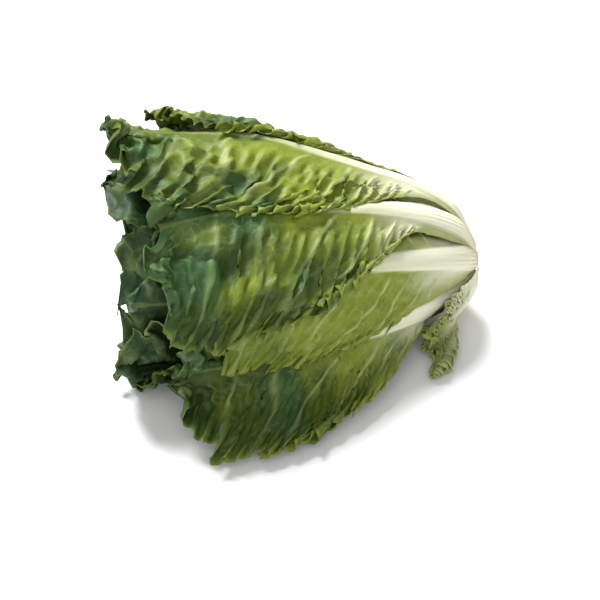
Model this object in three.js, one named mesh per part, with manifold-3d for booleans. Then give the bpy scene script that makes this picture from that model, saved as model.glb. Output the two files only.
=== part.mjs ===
// A head of broad-leaved endive, cut at the butt and lying on its side.
//
// Units are millimetres and +Z is up. The head's axis runs along X: the cut butt is at the +X end and the leaf
// tips are at the -X end. Every leaf is one closed, cupped solid that hugs a shell around that axis. The shells
// are nested, so leaves that cover each other keep a gap. The underside of every shell is pressed flat, as the
// weight of the head presses it on a table, and the lowest leaf on the near side lies out over the table.
import * as THREE from "three";
import { mergeVertices } from "three/addons/utils/BufferGeometryUtils.js";
import Module from "manifold-3d";

// ---- Driving dimensions: the head ----
const AXIS_HEIGHT_AT_BUTT = 50; // height of the head's axis over the table at the cut
const AXIS_HEIGHT_AT_TIPS = 76; // the same at FULL_LENGTH
const FULL_LENGTH = 280; // butt to the furthest leaf tips
const BUTT_RADIUS = 12; // outermost shell at the cut
const SHOULDER = 38; // how much the shell swells just past the cut
const SHOULDER_LENGTH = 20;
const CONE_SLOPE = 0.29; // the shell's widening along the rest of the head
const SIDE_SPREAD = 0.12; // share by which the head's weight widens it near the tips
const FLAT_SHARPNESS = 6; // higher makes a sharper turn from the flat underside to the round sides
const SHELL_CLEARANCE = 2; // between the outermost shell's flat underside and the table

// Slow swells round and along the head, as shares of the radius.
const SWELL_START = 30; // from the butt
const SWELL_RUN = 150; // over which the swells grow to their full size
const BROAD_SWELL = { share: 0.025, waves: 3, run: 45 };
const FINE_SWELL = { share: 0.018, waves: 5, run: -38 };

// ---- Driving dimensions: the stem ----
const STEM_LENGTH = 38; // as far as the innermost leaf starts from the cut
const FIRST_LEAF_START = 2; // where the outermost leaf starts
const STEM_CUT_RADIUS = 8.5;
const STEM_TIP_LAYER = 0.18; // the stem ends under the leaves of this layer
const STEM_GAP = 0.8; // between the stem and the leaf bases
const STEM_SHARE = 0.6; // of the radius at which each leaf base starts
const ROOT_LENGTH = 9; // the bit of root left on the cut
const ROOT_RADIUS = 1.3;
const ROOT_TILT = 0.75; // radians above the head's axis

// ---- Driving dimensions: the leaves ----
const BLADE = 0.9; // leaf blade thickness
const WIDEST_WRAP = THREE.MathUtils.degToRad(64); // how far a leaf may wrap to each side of its rib
const FOOT_HALF_WIDTH = 7;
const NARROWEST_HALF_WIDTH = 4;
const RIB_HALF_WIDTH = { foot: 10, tip: 2 };
const LAID_CLEARANCE = 3; // between a laid blade and the table
const LAID_RUN = 38; // the least width over which a laid blade levels out

const INNER_LEAVES = 30; // heart leaves first, then middle leaves
const HEART_LEAVES = 14;
const GOLDEN_ANGLE = 137.5; // degrees between one leaf and the next around the stem
const FIRST_AZIMUTH = 100;
// Each pair runs from the innermost leaf to the outermost of the inner leaves.
const INNER_LAYER = [0.09, 0.765];
const INNER_LEAF_LENGTH = [200, 268];
const INNER_HALF_WIDTH = [30, 56];
const INNER_RIB = [0.8, 1.5];
const LENGTH_SCATTER = 14;
const DRIFT_SCATTER = 10; // degrees

// The outer ring, from the innermost of them out. Azimuth is in degrees from straight up towards the near side
// (-Y). Layer is the leaf's shell as a share of the outermost. Length is from the butt to the tip along the axis,
// half is the widest half width of the blade, drift is how many degrees the rib strays and rib is its thickness.
// Laid is for a leaf whose lower half lies out over the table: how far from the butt that starts and is complete.
const OUTER_LEAVES = [
  { azimuth: 146, layer: 0.83, length: 278, half: 58, drift: -4, rib: 2.2 },
  { azimuth: 98, layer: 0.86, length: 256, half: 64, drift: 6, rib: 2.4, laid: [35, 95] },
  { azimuth: 52, layer: 0.897, length: 228, half: 58, drift: 8, rib: 3.0 },
  { azimuth: 215, layer: 0.905, length: 262, half: 60, drift: 4, rib: 2.6 },
  { azimuth: 17, layer: 0.941, length: 256, half: 64, drift: 22, rib: 3.6 },
  { azimuth: 178, layer: 0.947, length: 250, half: 56, drift: -3, rib: 3.0 },
  { azimuth: 252, layer: 0.955, length: 256, half: 54, drift: -5, rib: 3.2 },
  { azimuth: 344, layer: 0.988, length: 276, half: 66, drift: -2, rib: 4.2 },
  { azimuth: 302, layer: 1.04, length: 256, half: 60, drift: 4, rib: 4.2 },
  { azimuth: 126, layer: 0.99, length: 70, half: 26, drift: 6, rib: 3.0, laid: [14, 40] },
];

// Rows of facets along a leaf and columns across it.
const INNER_FACETS = { rows: 8, columns: 6 };
const OUTER_FACETS = { rows: 10, columns: 8 };

const COLOURS = { outer_leaf: 0x5f8f35, middle_leaf: 0x86ab45, heart_leaf: 0xc3cf78, stem: 0xe6dfc4 };
const ROUGHNESS = 0.55;

// ---- Small helpers ----
const { degToRad, lerp, euclideanModulo } = THREE.MathUtils;
const clamp01 = (value) => Math.min(1, Math.max(0, value));
const smoothstep = (value) => clamp01(value) ** 2 * (3 - 2 * clamp01(value));
const twoDigits = (number) => String(number).padStart(2, "0");
// A number from -0.5 to 0.5 that differs from leaf to leaf and is the same on each run.
const scatter = (seed) => euclideanModulo(Math.sin(seed * 12.9898) * 43758.5453, 1) - 0.5;

// ---- The head's shells ----
const shellRadius = (x) => BUTT_RADIUS + SHOULDER * (1 - Math.exp(-x / SHOULDER_LENGTH)) + CONE_SLOPE * x;
const axisHeight = (x) => lerp(AXIS_HEIGHT_AT_BUTT, AXIS_HEIGHT_AT_TIPS, x / FULL_LENGTH);
const layerStart = (layer) => FIRST_LEAF_START + STEM_LENGTH * Math.max(0, 1 - layer) ** 1.2;

// How much the table and the head's weight change a shell's radius at one place round the axis.
function pressed(x, angle) {
  const room = axisHeight(x) - SHELL_CLEARANCE;
  const drop = shellRadius(x) * Math.max(0, -Math.cos(angle));
  const flattened = (1 + (drop / room) ** FLAT_SHARPNESS) ** (-1 / FLAT_SHARPNESS);
  const widened = 1 + SIDE_SPREAD * Math.sin(angle) ** 2 * smoothstep(x / FULL_LENGTH);
  return flattened * widened;
}

// All shells share the swells, so that nested leaves stay nested.
function swell(x, angle) {
  const broad = BROAD_SWELL.share * Math.sin(BROAD_SWELL.waves * angle + x / BROAD_SWELL.run);
  const fine = FINE_SWELL.share * Math.sin(FINE_SWELL.waves * angle + x / FINE_SWELL.run + 1);
  return 1 + smoothstep((x - SWELL_START) / SWELL_RUN) * (broad + fine);
}

// A point at x along the axis, angle round it from straight up, on a layer, pushed out by lift millimetres.
function headPoint(x, angle, layer, lift) {
  const radius = shellRadius(x) * layer * pressed(x, angle) * swell(x, angle) + lift;
  return new THREE.Vector3(-x, -radius * Math.sin(angle), axisHeight(x) + radius * Math.cos(angle));
}

// ---- One leaf ----
// Half width of the blade at a share v of the leaf's length: a narrow foot, a wide shoulder and a blunt tip.
function halfWidth(leaf, v) {
  const blade = leaf.half * Math.sin(Math.PI * Math.min(1, v ** 1.75)) ** 0.62;
  return Math.max(NARROWEST_HALF_WIDTH, FOOT_HALF_WIDTH * (1 - v) + blade);
}

const ribHalfWidth = (v) => lerp(RIB_HALF_WIDTH.foot, RIB_HALF_WIDTH.tip, Math.sqrt(v));

// The lower half of a leaf that lies out over the table: it leaves the rib downwards and levels out.
function laidPoint(leaf, x, angle, across, lift) {
  const rib = headPoint(x, angle, leaf.layer, 0);
  const outward = -Math.sign(Math.sin(angle));
  const drop = Math.max(0, rib.z - LAID_CLEARANCE);
  const run = Math.max(LAID_RUN, drop * 1.25);
  const steep = drop / run;
  const fade = Math.exp(-across / run);
  const level = across - (1 - Math.sqrt(1 - steep ** 2)) * (run / 2) * (1 - fade ** 2);
  const slope = steep * fade;
  const y = rib.y + outward * (level + lift * slope);
  return new THREE.Vector3(-x, y, rib.z - drop * (1 - fade) + lift * Math.sqrt(1 - slope ** 2));
}

// The leaf's surface: v runs from foot to tip, t from edge to edge with the rib at 0, and lift is outward.
function leafPoint(leaf, v, t, lift) {
  const start = layerStart(leaf.layer);
  const x = start + v * (leaf.length - start);
  const rib = degToRad(leaf.azimuth + leaf.drift * v * v);
  const across = t * halfWidth(leaf, v);
  const radius = shellRadius(x) * leaf.layer;
  const wrapped = WIDEST_WRAP * Math.tanh(Math.abs(across) / (radius * WIDEST_WRAP)) * Math.sign(across);
  const hugging = headPoint(x, rib + wrapped, leaf.layer, lift);
  const onLowerHalf = across * Math.sin(rib) > 0;
  if (!leaf.laid || !onLowerHalf) return hugging;
  const [from, until] = leaf.laid;
  const laid = smoothstep((x - from) / (until - from));
  return hugging.lerp(laidPoint(leaf, x, rib, Math.abs(across), lift), laid);
}

// How far the leaf's outer face stands out from its shell: the blade, with a ridge along the rib.
function thickness(leaf, v, isRib) {
  const blade = BLADE * lerp(0.5, 1, smoothstep(v * 8)); // thinner where the feet crowd together
  const ridge = leaf.rib * (1 - 0.75 * v) * smoothstep(v * 5);
  return isRib ? blade + ridge : blade;
}

// Moves the vertices of a subdivided box on to the leaf, so that the solid is closed by construction.
function leafGeometry(leaf, { rows, columns }) {
  const box = new THREE.BoxGeometry(2, 1, 1, columns, rows, 1);
  const position = box.getAttribute("position");
  const firstColumn = 2 / columns; // the first column on each side of the middle marks the rib's edge
  for (let i = 0; i < position.count; i++) {
    const v = (position.getY(i) + 0.5) ** 1.4;
    const step = -position.getX(i); // mirrored, so that the box stays right side out
    const ribShare = Math.min(0.5, ribHalfWidth(v) / halfWidth(leaf, v));
    const onRib = Math.min(1, Math.abs(step) / firstColumn) * ribShare;
    const pastRib = Math.max(0, Math.abs(step) - firstColumn) / (1 - firstColumn);
    const t = Math.sign(step) * (onRib + pastRib * (1 - ribShare));
    const lift = position.getZ(i) > 0 ? thickness(leaf, v, step === 0) : 0;
    const point = leafPoint(leaf, v, t, lift);
    position.setXYZ(i, point.x, point.y, point.z);
  }
  box.deleteAttribute("uv");
  box.computeVertexNormals();
  return box;
}

// ---- The stem ----
function toManifold(wasm, geometry) {
  const bare = geometry.clone();
  bare.deleteAttribute("normal");
  bare.deleteAttribute("uv");
  const merged = mergeVertices(bare, 1e-4);
  const vertProperties = merged.getAttribute("position").array;
  const triVerts = new Uint32Array(merged.index.array);
  return new wasm.Manifold(new wasm.Mesh({ numProp: 3, vertProperties, triVerts }));
}

function fromManifold(solid) {
  const mesh = solid.getMesh();
  const geometry = new THREE.BufferGeometry();
  geometry.setAttribute("position", new THREE.BufferAttribute(new Float32Array(mesh.vertProperties), 3));
  geometry.setIndex(new THREE.BufferAttribute(new Uint32Array(mesh.triVerts), 1));
  geometry.computeVertexNormals();
  return geometry;
}

// A short cone of pale core from the cut to the growing point, turned about the head's axis.
function coreGeometry() {
  const steps = 8;
  const profile = [new THREE.Vector2(0, 0), new THREE.Vector2(STEM_CUT_RADIUS, 0)];
  for (let step = 0; step <= steps; step++) {
    const layer = lerp(1, STEM_TIP_LAYER, step / steps);
    const x = layerStart(layer);
    profile.push(new THREE.Vector2(shellRadius(x) * layer * STEM_SHARE - STEM_GAP, x));
  }
  profile.push(new THREE.Vector2(0, layerStart(STEM_TIP_LAYER) + 3));
  return new THREE.LatheGeometry(profile, 20).rotateZ(Math.PI / 2);
}

// The stub of one root, which stands out of the cut and tilts up.
function rootGeometry() {
  const root = new THREE.CylinderGeometry(ROOT_RADIUS * 0.6, ROOT_RADIUS, ROOT_LENGTH, 8, 1);
  root.translate(0, ROOT_LENGTH / 2 - 1, 0); // its foot is 1 mm inside the core
  return root.rotateZ(ROOT_TILT - Math.PI / 2).translate(0, 0, 3);
}

async function stemGeometry() {
  const wasm = await Module();
  wasm.setup();
  const joined = toManifold(wasm, coreGeometry()).add(toManifold(wasm, rootGeometry()));
  return fromManifold(joined).translate(0, 0, AXIS_HEIGHT_AT_BUTT);
}

// ---- Assembly ----
function innerLeaf(index) {
  const share = index / (INNER_LEAVES - 1);
  return {
    azimuth: FIRST_AZIMUTH + GOLDEN_ANGLE * index,
    layer: lerp(...INNER_LAYER, share),
    length: lerp(...INNER_LEAF_LENGTH, share) + LENGTH_SCATTER * scatter(index),
    half: lerp(...INNER_HALF_WIDTH, share),
    drift: DRIFT_SCATTER * scatter(index + 50),
    rib: lerp(...INNER_RIB, share),
  };
}

const head = new THREE.Group();
const materials = Object.fromEntries(
  Object.entries(COLOURS).map(([slot, color]) => [
    slot,
    new THREE.MeshStandardMaterial({ color, roughness: ROUGHNESS, metalness: 0 }),
  ]),
);

function addMesh(name, slot, geometry) {
  const mesh = new THREE.Mesh(geometry, materials[slot]);
  mesh.name = name;
  head.add(mesh);
}

addMesh("stem", "stem", await stemGeometry());
for (let index = 0; index < INNER_LEAVES; index++) {
  const inHeart = index < HEART_LEAVES;
  const slot = inHeart ? "heart_leaf" : "middle_leaf";
  const number = inHeart ? index + 1 : index + 1 - HEART_LEAVES;
  addMesh(`${slot}_${twoDigits(number)}`, slot, leafGeometry(innerLeaf(index), INNER_FACETS));
}
OUTER_LEAVES.forEach((leaf, index) => {
  addMesh(`outer_leaf_${twoDigits(index + 1)}`, "outer_leaf", leafGeometry(leaf, OUTER_FACETS));
});

// The origin is on the table, under the middle of the head's own box.
const box = new THREE.Box3().setFromObject(head, true);
const centre = box.getCenter(new THREE.Vector3());
head.position.set(-centre.x, -centre.y, -box.min.z);

export default head;
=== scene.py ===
"""A head of broad-leaved endive, cut at the butt and lying on its side on a pale table.

Shapes are worked out in millimetres along the head's own axis: x is the distance from the cut, angle is
measured round the axis from straight up towards the near side (-Y), and layer says how far out a leaf lies.
Meshes are written in metres in the frame of the construction model.
"""
import math

import bmesh
import bpy
import numpy as np
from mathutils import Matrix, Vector


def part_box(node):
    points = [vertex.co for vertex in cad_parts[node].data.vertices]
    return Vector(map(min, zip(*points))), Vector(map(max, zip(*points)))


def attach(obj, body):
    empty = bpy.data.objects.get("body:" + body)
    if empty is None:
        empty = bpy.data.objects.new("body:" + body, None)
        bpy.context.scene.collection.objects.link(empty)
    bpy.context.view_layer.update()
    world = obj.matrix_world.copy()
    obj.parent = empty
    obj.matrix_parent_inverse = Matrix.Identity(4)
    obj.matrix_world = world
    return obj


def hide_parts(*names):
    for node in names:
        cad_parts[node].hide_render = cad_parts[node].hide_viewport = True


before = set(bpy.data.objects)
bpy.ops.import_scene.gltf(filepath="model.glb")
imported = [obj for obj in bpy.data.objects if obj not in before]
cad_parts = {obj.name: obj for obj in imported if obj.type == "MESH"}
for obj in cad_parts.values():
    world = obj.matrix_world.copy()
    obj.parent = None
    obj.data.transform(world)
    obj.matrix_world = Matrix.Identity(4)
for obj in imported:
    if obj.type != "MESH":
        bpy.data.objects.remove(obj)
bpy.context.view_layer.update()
MM = 0.001

# ---- The head, as the construction model gives it ----
AXIS_HEIGHT_AT_BUTT = 50.0
AXIS_HEIGHT_AT_TIPS = 76.0
FULL_LENGTH = 280.0
BUTT_RADIUS = 12.0
SHOULDER = 38.0
SHOULDER_LENGTH = 20.0
CONE_SLOPE = 0.29
SIDE_SPREAD = 0.12
FLAT_SHARPNESS = 6.0
STEM_LENGTH = 38.0
FIRST_LEAF_START = 2.0
STEM_DEPTH = 34.95  # from the cut to the stem's inner end
WIDEST_WRAP = math.radians(64)
TABLE_CLEARANCE = 1.2
TIP_TUCK = 20.0
SINK = 5.5  # how far a leaf dips where another one covers it
GOLDEN_ANGLE = 137.5
FIRST_AZIMUTH = 100.0
INNER_LEAVES = 30
HEART_LEAVES = 14

# ---- The inner leaves: each pair runs from the innermost to the outermost of them ----
INNER_LAYER = (0.09, 0.765)
INNER_DRAWN_IN = 0.86  # leaves room for the crumpled tips under the outer ring
INNER_LENGTH = (200, 290)
INNER_HALF_WIDTH = (30, 56)
INNER_RIB = (0.8, 2.0)
INNER_TONE = (-0.5, 1.0)
INNER_FRILL = 0.5
LENGTH_SCATTER = 14
DRIFT_SCATTER = 10  # degrees

# ---- Detail sizes, in millimetres where nothing else is said ----
BLADE = 0.55  # thickness
RIB_THICKENING = 3.2  # at a leaf's foot
FOOT_HALF_WIDTH = 9
NARROWEST_HALF_WIDTH = 5
LAID_CLEARANCE = 3  # between a laid blade and the table
LAID_RUN = 38  # the least width over which a laid blade levels out
LOBES = dict(span=(22, 50), tall=(10, 24), bend=0.4)
TEETH = dict(span=(5, 12), tall=(2.5, 6.0), bend=1.3)
MARGIN_WANDER = dict(wave=60, height=4)
TIP_LOBES = dict(wave=22, height=6)
TIP_TEETH = dict(wave=8, height=3.5)
TIP_TRIM = 4
COARSE_CRINKLE = dict(wave=9, height=0.55)
FINE_CRINKLE = dict(wave=5, height=0.25)
RIB_GROOVE = 0.3  # depth of the fine grooves along a rib
VEIN_WIDTH = 0.16  # as a share of the way from one vein to the next
VEIN_HEIGHT = 0.9

# ---- Grids: rows along a leaf and columns across it ----
HEART_GRID = (64, 21)
MIDDLE_GRID = (124, 41)
OUTER_GRID = (236, 53)
INNER_CAGE = (44, 19)  # the coarse grid that the frills grow on
OUTER_CAGE = (84, 29)
INNER_ROUNDS = 150
OUTER_ROUNDS = 260
STIFFNESS = 0.05  # how strongly a blade straightens in one round

# The stem is turned about the head's axis, so its box gives the cut's centre in the frame.
STEM_LOW, STEM_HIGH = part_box("stem")
STEM_RADIUS = (STEM_HIGH.y - STEM_LOW.y) / 2
CUT = np.array([STEM_LOW.x / MM + STEM_DEPTH, (STEM_LOW.y + STEM_HIGH.y) / 2 / MM, 0.0])
TABLE_DROP = (STEM_LOW.z + STEM_RADIUS) / MM - AXIS_HEIGHT_AT_BUTT

# The outer ring, from the innermost of them out. Each leaf keeps its place from the construction model, and
# some blades are a little wider, narrower or shorter. Half is the widest half width, drift is how many degrees
# the rib strays, and rib is its height. Tone runs from 0 for a pale yellow-green leaf to 1 for a dark one, and
# frill is how much longer the margin grows than the blade. Shoulder is where the blade starts to widen and where
# it is widest, as shares of the length. Laid is how far from the cut a leaf starts to lie out on the table, and
# how far from it the leaf lies there fully. What a leaf doesn't state is in finish_leaf.
OUTER_LEAVES = [
    dict(azimuth=146, layer=0.80, length=282, half=62, drift=-4, rib=2.2, tone=0.95, frill=0.5),
    dict(azimuth=98, layer=0.84, length=252, half=52, drift=6, rib=3.4, tone=0.55, frill=0.45,
         laid=(35, 95)),
    dict(azimuth=52, layer=0.885, length=230, half=56, drift=8, rib=3.4, tone=-0.15, frill=0.3,
         shoulder=(0.02, 0.6), pale=-0.08, puff=0.8, flare=9.0),
    dict(azimuth=215, layer=0.89, length=262, half=60, drift=4, rib=2.6, tone=0.5, frill=0.3),
    dict(azimuth=17, layer=0.95, length=258, half=78, drift=22, rib=4.4, tone=0.5, frill=0.55,
         shoulder=(0.22, 0.62), puff=2.4, droop=0.05, flare=12.0,
         folds=(24, 58), fold_depth=22.0, reach=24.0),
    dict(azimuth=178, layer=0.93, length=250, half=56, drift=-3, rib=3.0, tone=0.5, frill=0.2),
    dict(azimuth=252, layer=0.945, length=258, half=56, drift=-5, rib=3.2, tone=0.5, frill=0.35),
    dict(azimuth=344, layer=1.0, length=280, half=82, drift=-2, rib=4.8, tone=0.3, frill=0.55,
         shoulder=(0.12, 0.66), droop=0.06, flare=12.0,
         folds=(24, 58), fold_depth=22.0, reach=24.0),
    dict(azimuth=302, layer=1.07, length=242, half=66, drift=4, rib=4.4, tone=0.1, frill=0.45),
    dict(azimuth=119, layer=0.99, length=57, half=14, drift=6, rib=3.0, tone=-0.9, frill=0.7,
         laid=(14, 40), pale=0.75, shoulder=(-0.3, 0.5)),
]


# ---- Small helpers ----
def smoothstep(value):
    value = np.clip(value, 0, 1)
    return value * value * (3 - 2 * value)


def lerp(a, b, share):
    return a + (b - a) * share


def scatter(seed):
    """A number from -0.5 to 0.5 that differs from leaf to leaf and is the same on each run."""
    return (math.sin(seed * 12.9898) * 43758.5453) % 1 - 0.5


def ripple(a, b, wave, rng, count=7):
    """A smooth random field over the two coordinates a and b, about -1 to 1, with bumps about wave apart."""
    total = np.zeros(np.broadcast(a, b).shape)
    for _ in range(count):
        heading = rng.uniform(0, 2 * math.pi)
        number = 2 * math.pi / (wave * rng.uniform(0.75, 1.5))
        start = rng.uniform(0, 2 * math.pi)
        total += np.sin(number * (a * math.cos(heading) + b * math.sin(heading)) + start)
    return total / math.sqrt(count)


# ---- The head's shells ----
def shell_radius(x):
    """The construction model's shell, drawn in a little where the leaves lean together at their tips."""
    drawn_in = TIP_TUCK * smoothstep((x - 150) / 150)
    return BUTT_RADIUS + SHOULDER * (1 - np.exp(-x / SHOULDER_LENGTH)) + CONE_SLOPE * x - drawn_in


def axis_height(x):
    return lerp(AXIS_HEIGHT_AT_BUTT, AXIS_HEIGHT_AT_TIPS, x / FULL_LENGTH)


def pressed(x, angle):
    drop = shell_radius(x) * np.maximum(0, -np.cos(angle))
    flattened = (1 + (drop / (axis_height(x) - 2)) ** FLAT_SHARPNESS) ** (-1 / FLAT_SHARPNESS)
    return flattened * (1 + SIDE_SPREAD * np.sin(angle) ** 2 * smoothstep(x / FULL_LENGTH))


def swell(x, angle):
    broad = 0.025 * np.sin(3 * angle + x / 45)
    fine = 0.018 * np.sin(5 * angle - x / 38 + 1)
    return 1 + smoothstep((x - 30) / 150) * (broad + fine)


def shell(x, angle, layer):
    return shell_radius(x) * layer * pressed(x, angle) * swell(x, angle)


def head_point(x, angle, layer, dip=0.0):
    radius = shell(x, angle, layer) - dip
    return np.stack([-x, -radius * np.sin(angle), axis_height(x) + radius * np.cos(angle)], axis=-1)


# ---- One leaf's outline ----
def half_width(leaf, v):
    """A narrow foot that is nearly all rib, a blade that widens to its shoulder, and a broad blunt tip."""
    first, full = leaf["shoulder"]
    widening = smoothstep((v - first) / (full - first)) ** 0.8
    rounding = np.maximum(0, 1 - np.clip((v - 0.62) / 0.38, 0, 1) ** 3.2) ** 0.55
    foot = FOOT_HALF_WIDTH * (1 + smoothstep(v / 0.12) * (1 - v))
    return np.maximum(NARROWEST_HALF_WIDTH, (foot + leaf["half"] * widening) * rounding)


def rib_half_width(v):
    return 1.2 + 11.5 * np.maximum(0, 1 - v / 0.85) ** 1.1


def leaf_start(layer):
    return FIRST_LEAF_START + STEM_LENGTH * max(0.0, 1 - layer) ** 1.2


def flat_pattern(leaf, rows, columns):
    """The leaf laid flat: along and across in millimetres at each row and column. Rows lean forward as the
    side veins do, from the rib to the margin."""
    u = np.linspace(0, 1, rows)[:, None]
    step = np.linspace(-1, 1, columns)[None, :]
    t = np.sign(step) * np.abs(step) ** 1.15
    length = leaf["length"] - leaf_start(leaf["layer"])
    lean = leaf["lean"] * np.sin(math.pi * u ** 1.2) * np.abs(t)
    v_spine = u - leaf["lean"] * np.sin(math.pi * u ** 1.2)
    along = (v_spine + lean) * length
    across = t * half_width(leaf, np.clip(u, 0, 1))
    return u + 0 * t, t + 0 * u, along, across


def wrap_angle(leaf, x, across):
    radius = shell_radius(x) * leaf["layer"]
    return WIDEST_WRAP * np.tanh(np.abs(across) / (radius * WIDEST_WRAP)) * np.sign(across)


def laid_point(leaf, x, angle, across):
    """The lower half of a leaf that lies out over the table: it leaves the rib downwards and levels out."""
    rib = head_point(x, angle, leaf["layer"])
    outward = -np.sign(np.sin(angle))
    drop = np.maximum(0, rib[..., 2] - LAID_CLEARANCE)
    run = np.maximum(LAID_RUN, drop * 1.25)
    steep = drop / run
    fade = np.exp(-across / run)
    level = across - (1 - np.sqrt(1 - steep ** 2)) * (run / 2) * (1 - fade ** 2)
    return np.stack([-x, rib[..., 1] + outward * level, rib[..., 2] - drop * (1 - fade)], axis=-1)


def place_on_head(leaf, along, across):
    """The leaf's rest shape on its shell, and where each point is round the head."""
    start = leaf_start(leaf["layer"])
    x = start + along
    v = along / (leaf["length"] - start)
    rib = np.radians(leaf["azimuth"] + leaf["drift"] * v * v)
    angle = rib + wrap_angle(leaf, x, across)
    hugging = head_point(x, angle, leaf["layer"], sink(leaf, LEAVES, x, angle))
    on_lower_half = across * np.sin(rib) > 0
    laid = np.zeros(x.shape)
    if leaf["laid"]:
        first, full = leaf["laid"]
        laid = np.where(on_lower_half, smoothstep((x - first) / (full - first)), 0.0)
    out = laid_point(leaf, x, rib, np.abs(across))
    return hugging + (out - hugging) * laid[..., None], x, angle, laid


# ---- Growing the frills ----
def surface_normals(points, outward):
    """Unit normals of a grid of points, turned to the side that outward points to."""
    along = np.gradient(points, axis=0)
    across = np.gradient(points, axis=1)
    normals = np.cross(along, across)
    normals /= np.maximum(1e-9, np.linalg.norm(normals, axis=-1, keepdims=True))
    side = np.sign(np.sum(normals * outward)) or 1.0
    return normals * side


def outward_from_axis(points):
    centre = np.stack([points[..., 0], 0 * points[..., 0], axis_height(-points[..., 0])], axis=-1)
    return points - centre


def cover(other, x, angle):
    """How fully another leaf's outline covers each place round the head, 0 to 1."""
    start = leaf_start(other["layer"])
    v = (x - start) / (other["length"] - start)
    inside = smoothstep(v / 0.03) * smoothstep((1 - v) / 0.03)
    v = np.clip(v, 0.0, 1.0)
    rib = np.radians(other["azimuth"] + other["drift"] * v * v)
    away = np.abs((angle - rib + math.pi) % (2 * math.pi) - math.pi)
    edge = np.abs(wrap_angle(other, x, half_width(other, v)))
    return smoothstep((edge - away) / 0.16 + 0.4) * inside


def sink(leaf, leaves, x, angle):
    """How far a leaf lies under its shell, because of the leaves that cover it."""
    if leaf["inner"]:
        return 0 * x
    covers = sum(cover(other, x, angle) for other in leaves if other["layer"] > leaf["layer"])
    return SINK * covers * smoothstep(x / 60)


def room_round(leaf, leaves, x, angle, laid):
    """How far each point may move in and out before it meets the leaves under and over it."""
    here = shell_radius(x) * leaf["layer"] - sink(leaf, leaves, x, angle)
    inward = np.full(x.shape, leaf["depth"])
    outward = np.full(x.shape, leaf["reach"])
    for other in leaves:
        if other is leaf:
            continue
        covered = cover(other, x, angle) * (1 - laid)
        there = shell_radius(x) * other["layer"] - sink(other, leaves, x, angle)
        free = np.maximum(0.2, np.abs(there - here) * 0.5 - 0.5)
        if other["layer"] > leaf["layer"]:
            outward = np.minimum(outward, lerp(leaf["reach"], free, covered))
        else:
            inward = np.minimum(inward, lerp(leaf["depth"], free, covered))
    return -inward, outward


def pull(a, b, rest, give):
    """Moves two groups of points so that each pair's distance comes nearer to rest."""
    apart = b - a
    distance = np.linalg.norm(apart, axis=-1)
    step = apart * ((distance - rest) / np.maximum(distance, 1e-6) * 0.5 * give)[..., None]
    a += step
    b -= step


def pairs(points, rows, columns, first):
    """Views of the points joined by a step of rows and columns, starting at each second row or column."""
    if columns < 0:
        mirrored = points[:, ::-1]
        return pairs(mirrored, rows, -columns, first)
    if rows:
        a = points[first::2, : points.shape[1] - columns]
        b = points[first + rows :: 2, columns:]
    else:
        a = points[:, first::2]
        b = points[:, first + columns :: 2]
    count = (min(a.shape[0], b.shape[0]), min(a.shape[1], b.shape[1]))
    return a[: count[0], : count[1]], b[: count[0], : count[1]]


def grow(home, growth, hold, low, high, start, rounds, droop):
    """Lets a leaf whose margin has grown too long for its place buckle into frills. Hold is how firmly each
    point stays at home, and low and high bound its way in and out."""
    outward = surface_normals(home, outward_from_axis(home))
    points = home + outward * start[..., None]
    links = []
    for rows, columns in ((0, 1), (1, 0), (1, 1), (1, -1)):
        for first in (0, 1):
            a, b = pairs(home, rows, columns, first)
            ga, gb = pairs(growth[..., None], rows, columns, first)
            rest = np.linalg.norm(b - a, axis=-1) * ((ga + gb) / 2)[..., 0]
            give = 1.0 if rows * columns == 0 else 0.6
            links.append((rows, columns, first, rest, give))
    span = 3 if home.shape == (*OUTER_CAGE, 3) else 1
    for _ in range(rounds):
        for rows, columns, first, rest, give in links:
            a, b = pairs(points, rows, columns, first)
            pull(a, b, rest, give)
        middle = points[span:-span]
        bent = (points[: -2 * span] + points[2 * span :]) / 2 - middle
        middle += STIFFNESS * bent
        middle = points[:, 1:-1]
        bent = (points[:, :-2] + points[:, 2:]) / 2 - middle
        middle += STIFFNESS * bent
        points[..., 2] -= droop * (1 - hold)
        points += (home - points) * hold[..., None]
        way = np.sum((points - home) * outward, axis=-1)
        points += outward * (np.clip(way, low, high) - way)[..., None]
        points[..., 2] = np.maximum(points[..., 2], TABLE_CLEARANCE - TABLE_DROP)
    return points


def resample(count_in, count_out):
    """A matrix that carries count_in even samples to count_out along a smooth curve through them."""
    place = np.linspace(0, count_in - 1, count_out)
    base = np.minimum(place.astype(int), count_in - 2)
    f = place - base
    weights = [
        -0.5 * f + f ** 2 - 0.5 * f ** 3,
        1 - 2.5 * f ** 2 + 1.5 * f ** 3,
        0.5 * f + 2 * f ** 2 - 1.5 * f ** 3,
        -0.5 * f ** 2 + 0.5 * f ** 3,
    ]
    matrix = np.zeros((count_out, count_in))
    for offset, weight in zip((-1, 0, 1, 2), weights):
        column = np.clip(base + offset, 0, count_in - 1)
        np.add.at(matrix, (np.arange(count_out), column), weight)
    return matrix


def carry(points, rows, columns):
    down = resample(points.shape[0], rows)
    right = resample(points.shape[1], columns)
    return np.einsum("ri,ijk,cj->rck", down, points, right)


# ---- Fine detail ----
def margin_reach(u, length, rng):
    """How far the margin stands out at each row: uneven lobes that carry forward-pointing teeth."""
    reach = np.zeros_like(u)
    for kind in (LOBES, TEETH):
        place = 0.1 * rng.uniform(0.6, 1.0)
        while place < 1:
            span = rng.uniform(*kind["span"]) / length
            tall = rng.uniform(*kind["tall"])
            phase = (u - place) / span
            profile = tall * (np.clip(phase, 0, 1) ** kind["bend"] - 0.5)
            reach += np.where((phase >= 0) & (phase < 1), profile, 0)
            place += span
    wander = MARGIN_WANDER["height"] * ripple(u * length, 0, MARGIN_WANDER["wave"], rng)
    return reach + wander


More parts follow.
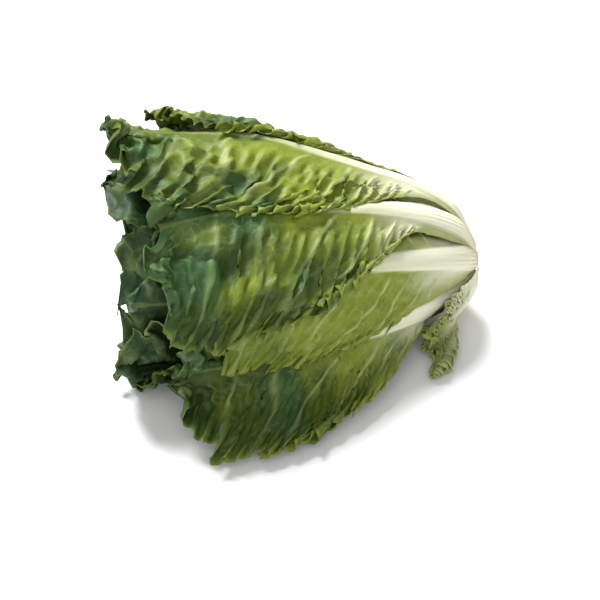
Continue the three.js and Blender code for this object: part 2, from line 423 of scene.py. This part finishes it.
def pleats(u, t, length, widths, rng):
    """Rounded folds with narrow creases between them, about -0.6 to 0.4, of uneven width along each side."""
    sides = []
    for _ in range(2):
        creases = [-0.05]
        while creases[-1] < 1.15:
            creases.append(creases[-1] + rng.uniform(*widths) / length)
        phase = np.interp(u + 0.06 * np.sin(5 * u + 3 * np.abs(t)), creases, np.arange(len(creases)))
        sides.append(np.abs(np.sin(math.pi * phase)) ** 0.7 - 0.6)
    return np.where(t > 0, sides[0], sides[1])


def side_veins(u, t, leaf, offset):
    """How far each place is from a side vein: 0 on a vein and 1 midway between two."""
    wander = 0.16 * np.sin(13 * u + 4 * t + 2 * offset) + 0.1 * np.sin(31 * u - 6 * t)
    phase = leaf["veins"] * u ** 0.85 + offset + wander
    return np.abs(np.sin(math.pi * phase))


def leaf_fields(leaf, rows, columns, rng):
    """The finished outer surface of one leaf as a grid of points, with what its finish needs to know."""
    coarse_rows, coarse_columns = leaf["cage"]
    u, t, along, across = flat_pattern(leaf, coarse_rows, coarse_columns)
    home, x, angle, laid = place_on_head(leaf, along, across)
    low, high = room_round(leaf, LEAVES, x, angle, laid)
    rib_share = rib_half_width(u) / half_width(leaf, u)
    free = smoothstep((np.abs(t) - rib_share) / 0.3) * smoothstep((u - 0.06) / 0.3)
    overgrown = 0.95 * np.abs(t) ** 0.8
    growth = 1 + leaf["frill"] * overgrown * smoothstep((u - 0.15) / 0.35)
    folds = pleats(u, t, leaf["length"], leaf["folds"], rng) * leaf["fold_depth"] * (0.4 + 0.6 * np.abs(t))
    start = free * (folds + ripple(along, across, 24, rng) * 2.0 + leaf["flare"] * np.abs(t))
    high = np.minimum(high, leaf["reach"] * (0.35 + 0.65 * np.abs(t) ** 2))
    hold = lerp(0.9, leaf["firm"], free)
    shaped = grow(home, growth, hold, low, high, start, leaf["rounds"], leaf["droop"])
    points = carry(shaped, rows, columns)

    u, t, along, across = flat_pattern(leaf, rows, columns)
    length = leaf["length"]
    v = along / length
    side = np.abs(t)
    reach_right = margin_reach(u[:, 0], length, rng)
    reach_left = margin_reach(u[:, 0], length, rng)
    reach = np.where(t > 0, reach_right[:, None], reach_left[:, None])
    outwards = np.gradient(points, axis=1)
    outwards /= np.maximum(1e-9, np.linalg.norm(outwards, axis=-1, keepdims=True))
    edge = np.clip((side - 0.5) / 0.5, 0, 1) ** 1.4
    edge = edge * smoothstep((u - 0.12) / 0.3) * smoothstep((1 - u) / 0.05)
    forwards = np.gradient(points, axis=0)
    forwards /= np.maximum(1e-9, np.linalg.norm(forwards, axis=-1, keepdims=True))
    ragged = TIP_LOBES["height"] * ripple(across, 0, TIP_LOBES["wave"], rng)
    ragged += TIP_TEETH["height"] * ripple(across, 0, TIP_TEETH["wave"], rng) - TIP_TRIM
    end = np.clip((u - 0.9) / 0.1, 0, 1) ** 1.5
    points = points + outwards * (np.sign(t) * edge * reach)[..., None]
    points += forwards * (end * ragged)[..., None]

    normals = surface_normals(points, outward_from_axis(points))
    wr = rib_half_width(v) * leaf["rib_scale"]
    over_rib = np.clip(1 - (across / wr) ** 2, 0, 1)
    rib = leaf["rib"] * np.clip(1 - v, 0.1, 1) ** 1.1 * smoothstep(u * 9) * over_rib ** 0.8
    rib += RIB_GROOVE * np.cos(across * 2.1 + 0.3 * np.sin(along / 30)) * over_rib * (1 - v)
    offset = np.where(t > 0, 0.0, 0.5)
    between = side_veins(u, t, leaf, offset)
    off_rib = smoothstep((np.abs(across) - wr) / 8)
    fade = 1 - smoothstep((side - 0.5) / 0.5)
    vein = np.exp(-((between / VEIN_WIDTH) ** 2)) * lerp(0.25, 1, fade) * off_rib
    vein *= smoothstep((u - 0.08) / 0.1)
    patch = ripple(along, across, 26, rng)
    puff = leaf["puff"] * off_rib * between ** 0.7 * (0.7 + 0.45 * patch)
    puff *= smoothstep((u - 0.12) / 0.25)
    small = ripple(along, across, COARSE_CRINKLE["wave"], rng) * COARSE_CRINKLE["height"]
    small += ripple(along, across, FINE_CRINKLE["wave"], rng) * FINE_CRINKLE["height"]
    crinkle = leaf["crumple"] * small * off_rib * smoothstep((u - 0.12) / 0.3)
    lift = rib + vein * VEIN_HEIGHT - puff + crinkle
    points = points + normals * lift[..., None]
    points[..., 2] = np.maximum(points[..., 2], TABLE_CLEARANCE - TABLE_DROP)

    thick = BLADE + RIB_THICKENING * over_rib * (1 - v) ** 1.5
    place = np.stack([side, v, np.clip(over_rib * 1.4, 0, 1)], axis=-1)
    pattern = np.stack([along, across, 0 * along + leaf["seed"] * 37.0], axis=-1) * MM
    tone = leaf["tone"] + 0.3 * ripple(u * length, across, 55, rng) + 0.12 * patch
    tone -= 0.35 * smoothstep((side - 0.75) / 0.25)  # the margins are yellower
    return points, thick, place, pattern, vein, tone


# ---- Meshes ----
def add_attribute(mesh, name, kind, values):
    attribute = mesh.attributes.new(name, kind, "POINT")
    key = "vector" if kind == "FLOAT_VECTOR" else "value"
    attribute.data.foreach_set(key, np.asarray(values, np.float32).ravel())


def leaf_object(name, leaf):
    rng = np.random.default_rng(leaf["seed"])
    rows, columns = leaf["grid"]
    points, thick, place, pattern, vein, tone = leaf_fields(leaf, rows, columns, rng)
    points = (points + np.array([CUT[0], CUT[1], TABLE_DROP])) * MM

    shape = bmesh.new()
    bmesh.ops.create_grid(shape, x_segments=columns - 1, y_segments=rows - 1, size=1)
    shape.verts.ensure_lookup_table()
    for vertex, point in zip(shape.verts, points.reshape(-1, 3)):
        vertex.co = point
    first = shape.verts[(rows // 2) * columns + columns // 2]
    shape.normal_update()
    height = axis_height(CUT[0] - first.co.x / MM) + TABLE_DROP
    axis_point = Vector((first.co.x, CUT[1] * MM, height * MM))
    if first.normal.dot(first.co - axis_point) < 0:
        bmesh.ops.reverse_faces(shape, faces=shape.faces)
    mesh = bpy.data.meshes.new(name)
    shape.to_mesh(mesh)
    shape.free()
    mesh.polygons.foreach_set("use_smooth", [True] * len(mesh.polygons))
    add_attribute(mesh, "place", "FLOAT_VECTOR", place)
    add_attribute(mesh, "pattern", "FLOAT_VECTOR", pattern)
    add_attribute(mesh, "vein", "FLOAT", vein)
    add_attribute(mesh, "tone", "FLOAT", tone)
    add_attribute(mesh, "pale", "FLOAT", np.full(rows * columns, leaf["pale"]))

    leaf_piece = bpy.data.objects.new(name, mesh)
    bpy.context.scene.collection.objects.link(leaf_piece)
    thickest = float(thick.max())
    group = leaf_piece.vertex_groups.new(name="thickness")
    for index, value in enumerate((thick / thickest).ravel()):
        group.add([index], float(value), "REPLACE")
    solid = leaf_piece.modifiers.new("thickness", "SOLIDIFY")
    solid.thickness = thickest * MM
    solid.offset = -1
    solid.vertex_group = "thickness"
    solid.use_even_offset = False
    return leaf_piece


# ---- Finishes ----
def node(tree, kind, **settings):
    made = tree.nodes.new(kind)
    for key, value in settings.items():
        setattr(made, key, value)
    return made


def leaf_material(slot, foot, young, old, bloom):
    """Cream at the foot and along the rib, young green near it, old green towards the tip, pale veins."""
    material = bpy.data.materials.new(slot)
    material.use_nodes = True
    tree = material.node_tree
    tree.nodes.clear()
    link = tree.links.new

    def attribute(name, output="Fac"):
        return node(tree, "ShaderNodeAttribute", attribute_name=name).outputs[output]

    def maths(operation, a, b):
        made = node(tree, "ShaderNodeMath", operation=operation)
        for socket, value in zip(made.inputs, (a, b)):
            if isinstance(value, (int, float)):
                socket.default_value = value
            else:
                link(value, socket)
        return made.outputs[0]

    def ramp(value, low, high, to_low=0.0, to_high=1.0):
        made = node(tree, "ShaderNodeMapRange", interpolation_type="SMOOTHSTEP")
        link(value, made.inputs["Value"])
        made.inputs["From Min"].default_value = low
        made.inputs["From Max"].default_value = high
        made.inputs["To Min"].default_value = to_low
        made.inputs["To Max"].default_value = to_high
        return made.outputs["Result"]

    def noise(vector, scale, detail, rough=0.5):
        made = node(tree, "ShaderNodeTexNoise")
        link(vector, made.inputs["Vector"])
        made.inputs["Scale"].default_value = scale
        made.inputs["Detail"].default_value = detail
        made.inputs["Roughness"].default_value = rough
        return made.outputs["Fac"]

    def mix(share, a, b):
        made = node(tree, "ShaderNodeMix", data_type="RGBA")
        link(share, made.inputs["Factor"])
        for socket, value in ((made.inputs[6], a), (made.inputs[7], b)):
            if isinstance(value, tuple):
                socket.default_value = (*value, 1)
            else:
                link(value, socket)
        return made.outputs[2]

    pattern = attribute("pattern", "Vector")
    split = node(tree, "ShaderNodeSeparateXYZ")
    link(attribute("place", "Vector"), split.inputs[0])
    side, along, rib = split.outputs
    vein = attribute("vein")
    tone = attribute("tone")

    broad = noise(pattern, 22, 2.0)
    mottle = noise(pattern, 90, 4.0, 0.6)
    fine = noise(pattern, 420, 3.0, 0.6)

    # How green the blade is: it deepens towards the tip and the margin, and with the leaf's own tone.
    depth = maths("ADD", along, maths("MULTIPLY", side, 0.22))
    depth = maths("ADD", depth, maths("MULTIPLY", maths("SUBTRACT", broad, 0.5), 0.7))
    depth = maths("ADD", depth, maths("MULTIPLY", maths("SUBTRACT", mottle, 0.5), 0.35))
    depth = maths("ADD", depth, maths("MULTIPLY", maths("SUBTRACT", tone, 0.5), 0.6))
    greening = ramp(depth, 0.25, 1.05)
    blade = mix(greening, young, old)
    waxed = maths("MULTIPLY", ramp(broad, 0.5, 0.72), ramp(depth, 0.45, 0.95, 0.0, 0.55))
    blade = mix(waxed, blade, bloom)
    # A net of small veins, and the side veins, are paler.
    net = node(tree, "ShaderNodeTexVoronoi", feature="DISTANCE_TO_EDGE")
    wander = node(tree, "ShaderNodeTexNoise")
    link(pattern, wander.inputs["Vector"])
    wander.inputs["Scale"].default_value = 110
    bent = node(tree, "ShaderNodeVectorMath", operation="MULTIPLY_ADD")
    link(wander.outputs["Color"], bent.inputs[0])
    bent.inputs[1].default_value = (0.009, 0.009, 0.009)
    link(pattern, bent.inputs[2])
    link(bent.outputs[0], net.inputs["Vector"])
    net.inputs["Scale"].default_value = 150
    netted = ramp(net.outputs["Distance"], 0.0, 0.16, 0.22, 0.0)
    pale = mix(greening, (0.50, 0.55, 0.24), (0.24, 0.34, 0.12))
    blade = mix(maths("MULTIPLY", netted, ramp(mottle, 0.4, 0.65)), blade, pale)
    blade = mix(maths("MULTIPLY", vein, ramp(along, 0.1, 1.0, 0.8, 0.45)), blade, pale)
    blade = mix(ramp(side, 0.95, 1.0, 0.0, 0.45), blade, young)
    # The rib fades from cream into the blade on the way up.
    cream = mix(ramp(along, 0.15, 0.75), foot, (0.34, 0.38, 0.12))
    streak = node(tree, "ShaderNodeMapping")
    streak.inputs["Scale"].default_value = (8, 420, 1)
    link(pattern, streak.inputs["Vector"])
    streaks = noise(streak.outputs[0], 1.0, 2.0)
    cream = mix(ramp(streaks, 0.4, 0.75, 0.0, 0.35), cream, (0.55, 0.60, 0.30))
    fading = maths("ADD", along, maths("MULTIPLY", maths("SUBTRACT", broad, 0.5), 0.25))
    fading = maths("SUBTRACT", fading, attribute("pale"))
    across_foot = maths("MAXIMUM", ramp(side, 0.2, 0.9, 1.0, 0.2), attribute("pale"))
    pale_foot = maths("MULTIPLY", ramp(fading, 0.08, 0.42, 0.95, 0.0), across_foot)
    rib_showing = maths("MULTIPLY", ramp(rib, 0.0, 0.7), ramp(fading, 0.4, 0.85, 0.97, 0.2))
    ribbed = maths("MAXIMUM", rib_showing, pale_foot)
    colour = mix(ribbed, blade, cream)
    # The foot is tanned where it was cut.
    tanned = maths("MULTIPLY", ramp(along, 0.0, 0.09, 0.75, 0.0), mottle)
    colour = mix(tanned, colour, (0.60, 0.46, 0.22))

    shader = node(tree, "ShaderNodeBsdfPrincipled")
    link(colour, shader.inputs["Base Color"])
    shader.inputs["Specular IOR Level"].default_value = 0.28
    link(maths("ADD", 0.42, maths("MULTIPLY", fine, 0.22)), shader.inputs["Roughness"])
    height = maths("ADD", maths("MULTIPLY", mottle, 0.5), maths("MULTIPLY", fine, 0.3))
    height = maths("ADD", height, maths("MULTIPLY", netted, 0.6))
    bump = node(tree, "ShaderNodeBump")
    bump.inputs["Strength"].default_value = 0.35
    bump.inputs["Distance"].default_value = 0.0012
    link(height, bump.inputs["Height"])
    link(bump.outputs[0], shader.inputs["Normal"])
    glow = node(tree, "ShaderNodeBsdfTranslucent")
    link(mix(ramp(rib, 0.0, 1.0), colour, (0.35, 0.4, 0.12)), glow.inputs["Color"])
    link(bump.outputs[0], glow.inputs["Normal"])
    thin = node(tree, "ShaderNodeMixShader")
    thin.inputs[0].default_value = 0.18
    link(shader.outputs[0], thin.inputs[1])
    link(glow.outputs[0], thin.inputs[2])
    output = node(tree, "ShaderNodeOutputMaterial")
    link(thin.outputs[0], output.inputs["Surface"])
    return material


def stem_material():
    material = bpy.data.materials.new("cut stem")
    material.use_nodes = True
    tree = material.node_tree
    shader = tree.nodes["Principled BSDF"]
    place = tree.nodes.new("ShaderNodeTexCoord").outputs["Object"]
    grain = tree.nodes.new("ShaderNodeTexNoise")
    grain.inputs["Scale"].default_value = 260
    grain.inputs["Detail"].default_value = 5
    tree.links.new(place, grain.inputs["Vector"])
    ramp = tree.nodes.new("ShaderNodeValToRGB")
    ramp.color_ramp.elements[0].position = 0.35
    ramp.color_ramp.elements[0].color = (0.55, 0.44, 0.30, 1)
    ramp.color_ramp.elements[1].position = 0.62
    ramp.color_ramp.elements[1].color = (0.84, 0.80, 0.68, 1)
    tree.links.new(grain.outputs["Fac"], ramp.inputs["Fac"])
    tree.links.new(ramp.outputs["Color"], shader.inputs["Base Color"])
    shader.inputs["Roughness"].default_value = 0.6
    bump = tree.nodes.new("ShaderNodeBump")
    bump.inputs["Distance"].default_value = 0.0008
    tree.links.new(grain.outputs["Fac"], bump.inputs["Height"])
    tree.links.new(bump.outputs[0], shader.inputs["Normal"])
    return material


# ---- The head ----
def inner_leaf(index):
    share = index / (INNER_LEAVES - 1)
    return dict(
        azimuth=FIRST_AZIMUTH + GOLDEN_ANGLE * index,
        layer=lerp(*INNER_LAYER, share) * INNER_DRAWN_IN,
        inner=True,
        length=lerp(*INNER_LENGTH, share) + LENGTH_SCATTER * scatter(index),
        half=lerp(*INNER_HALF_WIDTH, share),
        drift=DRIFT_SCATTER * scatter(index + 50),
        rib=lerp(*INNER_RIB, share),
        tone=lerp(*INNER_TONE, share),
        frill=INNER_FRILL,
    )


def finish_leaf(leaf, seed, grid, cage, rounds):
    """Fills in what a leaf doesn't state."""
    leaf.update(seed=seed, grid=grid, cage=cage, rounds=rounds)
    leaf.setdefault("inner", False)
    leaf.setdefault("laid", None)
    leaf.setdefault("shoulder", (0.02, 0.72))
    leaf.setdefault("lean", 0.2)  # how far forward the side veins reach, as a share of the length
    leaf.setdefault("veins", 10)  # on each side of the rib
    leaf.setdefault("droop", 0.03)  # how much a free blade sags in one round
    leaf.setdefault("flare", 3.0)  # how far the margin starts off the shell
    leaf.setdefault("pale", 0.0)  # how much further the cream foot reaches, as a share of the length
    leaf.setdefault("folds", (16, 44))  # the narrowest and widest fold
    leaf.setdefault("fold_depth", 16.0)
    leaf.setdefault("crumple", 2.0 if leaf["inner"] else 1.0)
    leaf.setdefault("reach", 18.0)  # the furthest that a blade may move out
    leaf.setdefault("depth", 11.0)  # the furthest that a blade may move in
    leaf.setdefault("firm", 0.006)  # how firmly a free blade stays on its shell
    leaf.setdefault("puff", 1.6)  # how far the blade bulges between its veins
    leaf.setdefault("rib_scale", 0.8 if leaf["inner"] else 1.0)
    return leaf


LEAVES = []
NAMES = []
for index in range(INNER_LEAVES):
    in_heart = index < HEART_LEAVES
    slot = "heart_leaf" if in_heart else "middle_leaf"
    number = index + 1 if in_heart else index + 1 - HEART_LEAVES
    grid = HEART_GRID if in_heart else MIDDLE_GRID
    LEAVES.append(finish_leaf(inner_leaf(index), index + 1, grid, INNER_CAGE, INNER_ROUNDS))
    NAMES.append((f"{slot}_{number:02d}", slot))
for index, leaf in enumerate(OUTER_LEAVES):
    LEAVES.append(finish_leaf(leaf, index + 101, OUTER_GRID, OUTER_CAGE, OUTER_ROUNDS))
    NAMES.append((f"outer_leaf_{index + 1:02d}", "outer_leaf"))

MATERIALS = {
    "outer_leaf": leaf_material("outer leaf", (0.84, 0.83, 0.66), (0.21, 0.265, 0.024), (0.030, 0.068, 0.007),
                                (0.065, 0.16, 0.065)),
    "middle_leaf": leaf_material("middle leaf", (0.84, 0.83, 0.66), (0.17, 0.24, 0.03), (0.014, 0.038, 0.006),
                                 (0.04, 0.10, 0.04)),
    "heart_leaf": leaf_material("heart leaf", (0.82, 0.80, 0.62), (0.50, 0.54, 0.14), (0.20, 0.30, 0.05),
                                (0.32, 0.42, 0.12)),
}

for leaf, (name, slot) in zip(LEAVES, NAMES):
    piece = leaf_object(f"{name}_grown", leaf)
    piece.data.materials.append(MATERIALS[slot])
    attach(piece, "root")
    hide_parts(name)

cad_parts["stem"].data.materials.clear()
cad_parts["stem"].data.materials.append(stem_material())


# ---- Table, light and camera ----
def table():
    shape = bmesh.new()
    bmesh.ops.create_grid(shape, x_segments=1, y_segments=1, size=6)
    mesh = bpy.data.meshes.new("table")
    shape.to_mesh(mesh)
    shape.free()
    top = bpy.data.objects.new("table", mesh)
    bpy.context.scene.collection.objects.link(top)
    paint = bpy.data.materials.new("table")
    paint.use_nodes = True
    shader = paint.node_tree.nodes["Principled BSDF"]
    shader.inputs["Base Color"].default_value = (0.86, 0.86, 0.86, 1)
    shader.inputs["Roughness"].default_value = 0.9
    mesh.materials.append(paint)


def area_light(name, place, aim, size, watts):
    light = bpy.data.lights.new(name, "AREA")
    light.size = size
    light.energy = watts
    lamp = bpy.data.objects.new(name, light)
    lamp.location = place
    lamp.rotation_euler = (Vector(aim) - Vector(place)).to_track_quat("-Z", "Y").to_euler()
    bpy.context.scene.collection.objects.link(lamp)


def sun_light(name, place, spread, strength):
    light = bpy.data.lights.new(name, "SUN")
    light.angle = math.radians(spread)  # a wide lamp, so shadows have soft edges
    light.energy = strength
    lamp = bpy.data.objects.new(name, light)
    lamp.rotation_euler = (-Vector(place)).to_track_quat("-Z", "Y").to_euler()
    bpy.context.scene.collection.objects.link(lamp)


def camera(azimuth, elevation, distance, lens, aim):
    data = bpy.data.cameras.new("camera")
    data.lens = lens
    eye = bpy.data.objects.new("camera", data)
    a, e = math.radians(azimuth), math.radians(elevation)
    back = Vector((math.sin(a) * math.cos(e), -math.cos(a) * math.cos(e), math.sin(e)))
    eye.location = Vector(aim) + back * distance
    eye.rotation_euler = (-back).to_track_quat("-Z", "Y").to_euler()
    bpy.context.scene.collection.objects.link(eye)
    bpy.context.scene.camera = eye


table()
sun_light("key light", (-0.25, 0.6, 1.0), 27, 6.6)
area_light("fill light", (-0.3, -1.0, 1.0), (0, 0, 0.05), 1.2, 9)
world = bpy.data.worlds.new("room")
bpy.context.scene.world = world
world.use_nodes = True
world.node_tree.nodes["Background"].inputs["Color"].default_value = (1, 1, 1, 1)
world.node_tree.nodes["Background"].inputs["Strength"].default_value = 0.38
bpy.context.scene.view_settings.view_transform = "Standard"
camera(-10, 40, 0.88, 70, (-0.011, -0.023, 0.0505))
